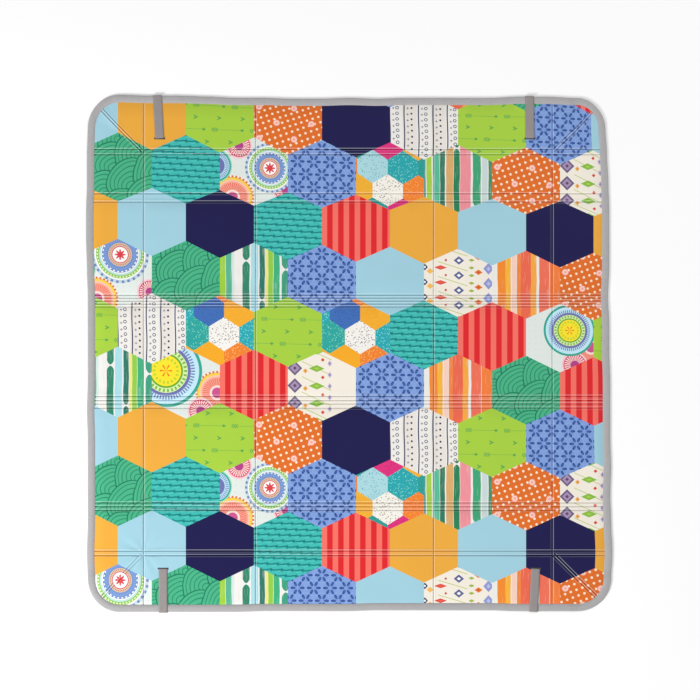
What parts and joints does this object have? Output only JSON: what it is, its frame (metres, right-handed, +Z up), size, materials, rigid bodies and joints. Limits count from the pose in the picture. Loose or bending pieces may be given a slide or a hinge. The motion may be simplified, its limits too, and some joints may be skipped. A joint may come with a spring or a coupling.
{
  "type": "folding padded play mat",
  "caption": "Thin padded mat with a bound edge; folds in thirds and rows into a flat pack, or its rims stand up as tray walls with gusseted corners.",
  "frame": {"origin": "centre of the bounding box, at the underside", "axes": "+Z up through the print face, +Y towards the north rim, +X towards the east rim"},
  "size_m": [1.2, 1.1846, 0.0045],
  "materials": {
    "binding": "matte",
    "elastic": "matte",
    "panel_blue": "satin",
    "panel_green": "satin",
    "panel_lime": "satin",
    "panel_mustard": "satin",
    "panel_orange": "satin",
    "panel_sky": "satin",
    "panel_teal": "satin"
  },
  "bodies": {
    "west_rim_row_1": {"panel_west_rim_row_1": "panel_mustard", "binding_west_rim_row_1": "binding"},
    "west_rim_row_2": {"panel_west_rim_row_2": "panel_lime", "binding_west_rim_row_2": "binding"},
    "west_rim_row_3": {"panel_west_rim_row_3": "panel_green", "binding_west_rim_row_3": "binding"},
    "west_rim_row_4": {"panel_west_rim_row_4": "panel_teal", "binding_west_rim_row_4": "binding"},
    "west_rim_row_5": {"panel_west_rim_row_5": "panel_blue", "binding_west_rim_row_5": "binding"},
    "west_north_rim": {"panel_west_north_rim": "panel_blue", "binding_west_north_rim": "binding"},
    "west_row_1": {"panel_west_row_1": "panel_orange"},
    "west_row_2": {"panel_west_row_2": "panel_sky"},
    "west_row_3": {"panel_west_row_3": "panel_mustard"},
    "west_row_4": {"panel_west_row_4": "panel_lime"},
    "west_row_5": {"panel_west_row_5": "panel_green"},
    "west_south_rim": {"panel_west_south_rim": "panel_teal", "binding_west_south_rim": "binding"},
    "middle_north_rim": {"panel_middle_north_rim": "panel_green", "binding_middle_north_rim": "binding"},
    "middle_row_1": {"panel_middle_row_1": "panel_teal"},
    "middle_row_2": {"panel_middle_row_2": "panel_blue"},
    "middle_row_3": {"panel_middle_row_3": "panel_orange"},
    "middle_row_4": {"panel_middle_row_4": "panel_sky"},
    "middle_row_5": {"panel_middle_row_5": "panel_mustard"},
    "middle_south_rim": {"panel_middle_south_rim": "panel_lime", "binding_middle_south_rim": "binding"},
    "east_north_rim": {"panel_east_north_rim": "panel_mustard", "binding_east_north_rim": "binding"},
    "east_row_1": {"panel_east_row_1": "panel_lime"},
    "east_row_2": {"panel_east_row_2": "panel_green"},
    "east_row_3": {"panel_east_row_3": "panel_teal"},
    "east_row_4": {"panel_east_row_4": "panel_blue"},
    "east_row_5": {"panel_east_row_5": "panel_orange"},
    "east_south_rim": {"panel_east_south_rim": "panel_sky", "binding_east_south_rim": "binding"},
    "east_rim_row_1": {"panel_east_rim_row_1": "panel_sky", "binding_east_rim_row_1": "binding"},
    "east_rim_row_2": {"panel_east_rim_row_2": "panel_mustard", "binding_east_rim_row_2": "binding"},
    "east_rim_row_3": {"panel_east_rim_row_3": "panel_lime", "binding_east_rim_row_3": "binding"},
    "east_rim_row_4": {"panel_east_rim_row_4": "panel_green", "binding_east_rim_row_4": "binding"},
    "east_rim_row_5": {"panel_east_rim_row_5": "panel_teal", "binding_east_rim_row_5": "binding"},
    "gusset_northwest_a": {"gusset_northwest_a": "panel_mustard"},
    "gusset_northwest_b": {"gusset_northwest_b": "panel_sky"},
    "gusset_northeast_a": {"gusset_northeast_a": "panel_mustard"},
    "gusset_northeast_b": {"gusset_northeast_b": "panel_sky"},
    "gusset_southwest_a": {"gusset_southwest_a": "panel_mustard"},
    "gusset_southwest_b": {"gusset_southwest_b": "panel_sky"},
    "gusset_southeast_a": {"gusset_southeast_a": "panel_mustard"},
    "gusset_southeast_b": {"gusset_southeast_b": "panel_sky"},
    "band_northwest": {"band_northwest": "elastic"},
    "band_northeast": {"band_northeast": "elastic"},
    "band_southwest": {"band_southwest": "elastic"},
    "band_southeast": {"band_southeast": "elastic"}
  },
  "joints": [
    {"name": "fold_row_2", "type": "hinge", "parent": "middle_row_3", "child": "middle_row_2", "pos_m": [0, 0.1205, 0.0196], "axis": [1, 0, 0], "range_deg": [0, 180]},
    {"name": "fold_row_1", "type": "hinge", "parent": "middle_row_2", "child": "middle_row_1", "pos_m": [0, 0.357, 0.013], "axis": [1, 0, 0], "range_deg": [0, 180]},
    {"name": "fold_row_4", "type": "hinge", "parent": "middle_row_3", "child": "middle_row_4", "pos_m": [0, -0.1115, 0.0328], "axis": [-1, 0, 0], "range_deg": [0, 180]},
    {"name": "fold_row_5", "type": "hinge", "parent": "middle_row_4", "child": "middle_row_5", "pos_m": [0, -0.351, 0.013], "axis": [-1, 0, 0], "range_deg": [0, 180]},
    {"name": "raise_walls", "type": "hinge", "parent": "middle_row_1", "child": "middle_north_rim", "pos_m": [0, 0.462, 0.001], "axis": [-1, 0, 0], "range_deg": [-90, 0]},
    {"name": "wall_south", "type": "hinge", "parent": "middle_row_5", "child": "middle_south_rim", "pos_m": [0, -0.458, 0.001], "axis": [1, 0, 0], "range_deg": [-90, 0]},
    {"name": "fold_west", "type": "hinge", "parent": "middle_row_3", "child": "west_row_3", "pos_m": [-0.212, 0, 0.004], "axis": [0, 1, 0], "range_deg": [0, 180]},
    {"name": "fold_east", "type": "hinge", "parent": "middle_row_3", "child": "east_row_3", "pos_m": [0.196, 0, 0.0064], "axis": [0, -1, 0], "range_deg": [0, 180]},
    {"name": "fold_west_north_rim", "type": "hinge", "parent": "middle_north_rim", "child": "west_north_rim", "pos_m": [-0.212, 0, 0.004], "axis": [0, 1, 0], "range_deg": [0, 180]},
    {"name": "fold_east_north_rim", "type": "hinge", "parent": "middle_north_rim", "child": "east_north_rim", "pos_m": [0.196, 0, 0.0064], "axis": [0, -1, 0], "range_deg": [0, 180]},
    {"name": "fold_west_row_1", "type": "hinge", "parent": "middle_row_1", "child": "west_row_1", "pos_m": [-0.212, 0, 0.004], "axis": [0, 1, 0], "range_deg": [0, 180]},
    {"name": "fold_east_row_1", "type": "hinge", "parent": "middle_row_1", "child": "east_row_1", "pos_m": [0.196, 0, 0.0064], "axis": [0, -1, 0], "range_deg": [0, 180]},
    {"name": "fold_west_row_2", "type": "hinge", "parent": "middle_row_2", "child": "west_row_2", "pos_m": [-0.212, 0, 0.004], "axis": [0, 1, 0], "range_deg": [0, 180]},
    {"name": "fold_east_row_2", "type": "hinge", "parent": "middle_row_2", "child": "east_row_2", "pos_m": [0.196, 0, 0.0064], "axis": [0, -1, 0], "range_deg": [0, 180]},
    {"name": "fold_west_row_4", "type": "hinge", "parent": "middle_row_4", "child": "west_row_4", "pos_m": [-0.212, 0, 0.004], "axis": [0, 1, 0], "range_deg": [0, 180]},
    {"name": "fold_east_row_4", "type": "hinge", "parent": "middle_row_4", "child": "east_row_4", "pos_m": [0.196, 0, 0.0064], "axis": [0, -1, 0], "range_deg": [0, 180]},
    {"name": "fold_west_row_5", "type": "hinge", "parent": "middle_row_5", "child": "west_row_5", "pos_m": [-0.212, 0, 0.004], "axis": [0, 1, 0], "range_deg": [0, 180]},
    {"name": "fold_east_row_5", "type": "hinge", "parent": "middle_row_5", "child": "east_row_5", "pos_m": [0.196, 0, 0.0064], "axis": [0, -1, 0], "range_deg": [0, 180]},
    {"name": "fold_west_south_rim", "type": "hinge", "parent": "middle_south_rim", "child": "west_south_rim", "pos_m": [-0.212, 0, 0.004], "axis": [0, 1, 0], "range_deg": [0, 180]},
    {"name": "fold_east_south_rim", "type": "hinge", "parent": "middle_south_rim", "child": "east_south_rim", "pos_m": [0.196, 0, 0.0064], "axis": [0, -1, 0], "range_deg": [0, 180]},
    {"name": "wall_west_row_1", "type": "hinge", "parent": "west_row_1", "child": "west_rim_row_1", "pos_m": [-0.47, 0, 0.001], "axis": [0, -1, 0], "range_deg": [-90, 0]},
    {"name": "wall_east_row_1", "type": "hinge", "parent": "east_row_1", "child": "east_rim_row_1", "pos_m": [0.467, 0, 0.001], "axis": [0, 1, 0], "range_deg": [-90, 0]},
    {"name": "wall_west_row_2", "type": "hinge", "parent": "west_row_2", "child": "west_rim_row_2", "pos_m": [-0.47, 0, 0.001], "axis": [0, -1, 0], "range_deg": [-90, 0]},
    {"name": "wall_east_row_2", "type": "hinge", "parent": "east_row_2", "child": "east_rim_row_2", "pos_m": [0.467, 0, 0.001], "axis": [0, 1, 0], "range_deg": [-90, 0]},
    {"name": "wall_west_row_3", "type": "hinge", "parent": "west_row_3", "child": "west_rim_row_3", "pos_m": [-0.47, 0, 0.001], "axis": [0, -1, 0], "range_deg": [-90, 0]},
    {"name": "wall_east_row_3", "type": "hinge", "parent": "east_row_3", "child": "east_rim_row_3", "pos_m": [0.467, 0, 0.001], "axis": [0, 1, 0], "range_deg": [-90, 0]},
    {"name": "wall_west_row_4", "type": "hinge", "parent": "west_row_4", "child": "west_rim_row_4", "pos_m": [-0.47, 0, 0.001], "axis": [0, -1, 0], "range_deg": [-90, 0]},
    {"name": "wall_east_row_4", "type": "hinge", "parent": "east_row_4", "child": "east_rim_row_4", "pos_m": [0.467, 0, 0.001], "axis": [0, 1, 0], "range_deg": [-90, 0]},
    {"name": "wall_west_row_5", "type": "hinge", "parent": "west_row_5", "child": "west_rim_row_5", "pos_m": [-0.47, 0, 0.001], "axis": [0, -1, 0], "range_deg": [-90, 0]},
    {"name": "wall_east_row_5", "type": "hinge", "parent": "east_row_5", "child": "east_rim_row_5", "pos_m": [0.467, 0, 0.001], "axis": [0, 1, 0], "range_deg": [-90, 0]},
    {"name": "fold_gusset_northwest_a", "type": "hinge", "parent": "west_north_rim", "child": "gusset_northwest_a", "pos_m": [-0.47, 0, 0], "axis": [0, 1, 0], "range_deg": [-45, 0]},
    {"name": "fold_gusset_northwest_b", "type": "hinge", "parent": "gusset_northwest_a", "child": "gusset_northwest_b", "pos_m": [-0.47, 0.462, 0.0034], "axis": [0.7104, -0.7038, 0], "range_deg": [-180, 0]},
    {"name": "fold_gusset_northeast_a", "type": "hinge", "parent": "east_north_rim", "child": "gusset_northeast_a", "pos_m": [0.467, 0, 0], "axis": [0, -1, 0], "range_deg": [-45, 0]},
    {"name": "fold_gusset_northeast_b", "type": "hinge", "parent": "gusset_northeast_a", "child": "gusset_northeast_b", "pos_m": [0.467, 0.462, 0.0034], "axis": [0.72, 0.694, 0], "range_deg": [-180, 0]},
    {"name": "fold_gusset_southwest_a", "type": "hinge", "parent": "west_south_rim", "child": "gusset_southwest_a", "pos_m": [-0.47, 0, 0], "axis": [0, 1, 0], "range_deg": [-45, 0]},
    {"name": "fold_gusset_southwest_b", "type": "hinge", "parent": "gusset_southwest_a", "child": "gusset_southwest_b", "pos_m": [-0.47, -0.458, 0.0034], "axis": [-0.6974, -0.7167, 0], "range_deg": [-180, 0]},
    {"name": "fold_gusset_southeast_a", "type": "hinge", "parent": "east_south_rim", "child": "gusset_southeast_a", "pos_m": [0.467, 0, 0], "axis": [0, -1, 0], "range_deg": [-45, 0]},
    {"name": "fold_gusset_southeast_b", "type": "hinge", "parent": "gusset_southeast_a", "child": "gusset_southeast_b", "pos_m": [0.467, -0.458, 0.0034], "axis": [-0.7071, 0.7071, 0], "range_deg": [-180, 0]},
    {"name": "lift_band_northwest", "type": "slide", "parent": "west_north_rim", "child": "band_northwest", "axis": [0, 0, 1], "range_m": [0, 0.008], "stiffness_N_per_m": 20, "deforming": ["band_northwest"]},
    {"name": "lift_band_northeast", "type": "slide", "parent": "east_north_rim", "child": "band_northeast", "axis": [0, 0, 1], "range_m": [0, 0.008], "stiffness_N_per_m": 20, "deforming": ["band_northeast"]},
    {"name": "lift_band_southwest", "type": "slide", "parent": "west_south_rim", "child": "band_southwest", "axis": [0, 0, 1], "range_m": [0, 0.008], "stiffness_N_per_m": 20, "deforming": ["band_southwest"]},
    {"name": "lift_band_southeast", "type": "slide", "parent": "east_south_rim", "child": "band_southeast", "axis": [0, 0, 1], "range_m": [0, 0.008], "stiffness_N_per_m": 20, "deforming": ["band_southeast"]}
  ],
  "couplings": [
    {"joint": "wall_south", "follows": "raise_walls", "ratio": 1},
    {"joint": "fold_west_north_rim", "follows": "fold_west", "ratio": 1},
    {"joint": "fold_east_north_rim", "follows": "fold_east", "ratio": 1},
    {"joint": "fold_west_row_1", "follows": "fold_west", "ratio": 1},
    {"joint": "fold_east_row_1", "follows": "fold_east", "ratio": 1},
    {"joint": "fold_west_row_2", "follows": "fold_west", "ratio": 1},
    {"joint": "fold_east_row_2", "follows": "fold_east", "ratio": 1},
    {"joint": "fold_west_row_4", "follows": "fold_west", "ratio": 1},
    {"joint": "fold_east_row_4", "follows": "fold_east", "ratio": 1},
    {"joint": "fold_west_row_5", "follows": "fold_west", "ratio": 1},
    {"joint": "fold_east_row_5", "follows": "fold_east", "ratio": 1},
    {"joint": "fold_west_south_rim", "follows": "fold_west", "ratio": 1},
    {"joint": "fold_east_south_rim", "follows": "fold_east", "ratio": 1},
    {"joint": "wall_west_row_1", "follows": "raise_walls", "ratio": 1},
    {"joint": "wall_east_row_1", "follows": "raise_walls", "ratio": 1},
    {"joint": "wall_west_row_2", "follows": "raise_walls", "ratio": 1},
    {"joint": "wall_east_row_2", "follows": "raise_walls", "ratio": 1},
    {"joint": "wall_west_row_3", "follows": "raise_walls", "ratio": 1},
    {"joint": "wall_east_row_3", "follows": "raise_walls", "ratio": 1},
    {"joint": "wall_west_row_4", "follows": "raise_walls", "ratio": 1},
    {"joint": "wall_east_row_4", "follows": "raise_walls", "ratio": 1},
    {"joint": "wall_west_row_5", "follows": "raise_walls", "ratio": 1},
    {"joint": "wall_east_row_5", "follows": "raise_walls", "ratio": 1},
    {"joint": "fold_gusset_northwest_a", "follows": "raise_walls", "ratio": 0.5},
    {"joint": "fold_gusset_northwest_b", "follows": "raise_walls", "ratio": 2},
    {"joint": "fold_gusset_northeast_a", "follows": "raise_walls", "ratio": 0.5},
    {"joint": "fold_gusset_northeast_b", "follows": "raise_walls", "ratio": 2},
    {"joint": "fold_gusset_southwest_a", "follows": "raise_walls", "ratio": 0.5},
    {"joint": "fold_gusset_southwest_b", "follows": "raise_walls", "ratio": 2},
    {"joint": "fold_gusset_southeast_a", "follows": "raise_walls", "ratio": 0.5},
    {"joint": "fold_gusset_southeast_b", "follows": "raise_walls", "ratio": 2}
  ]
}
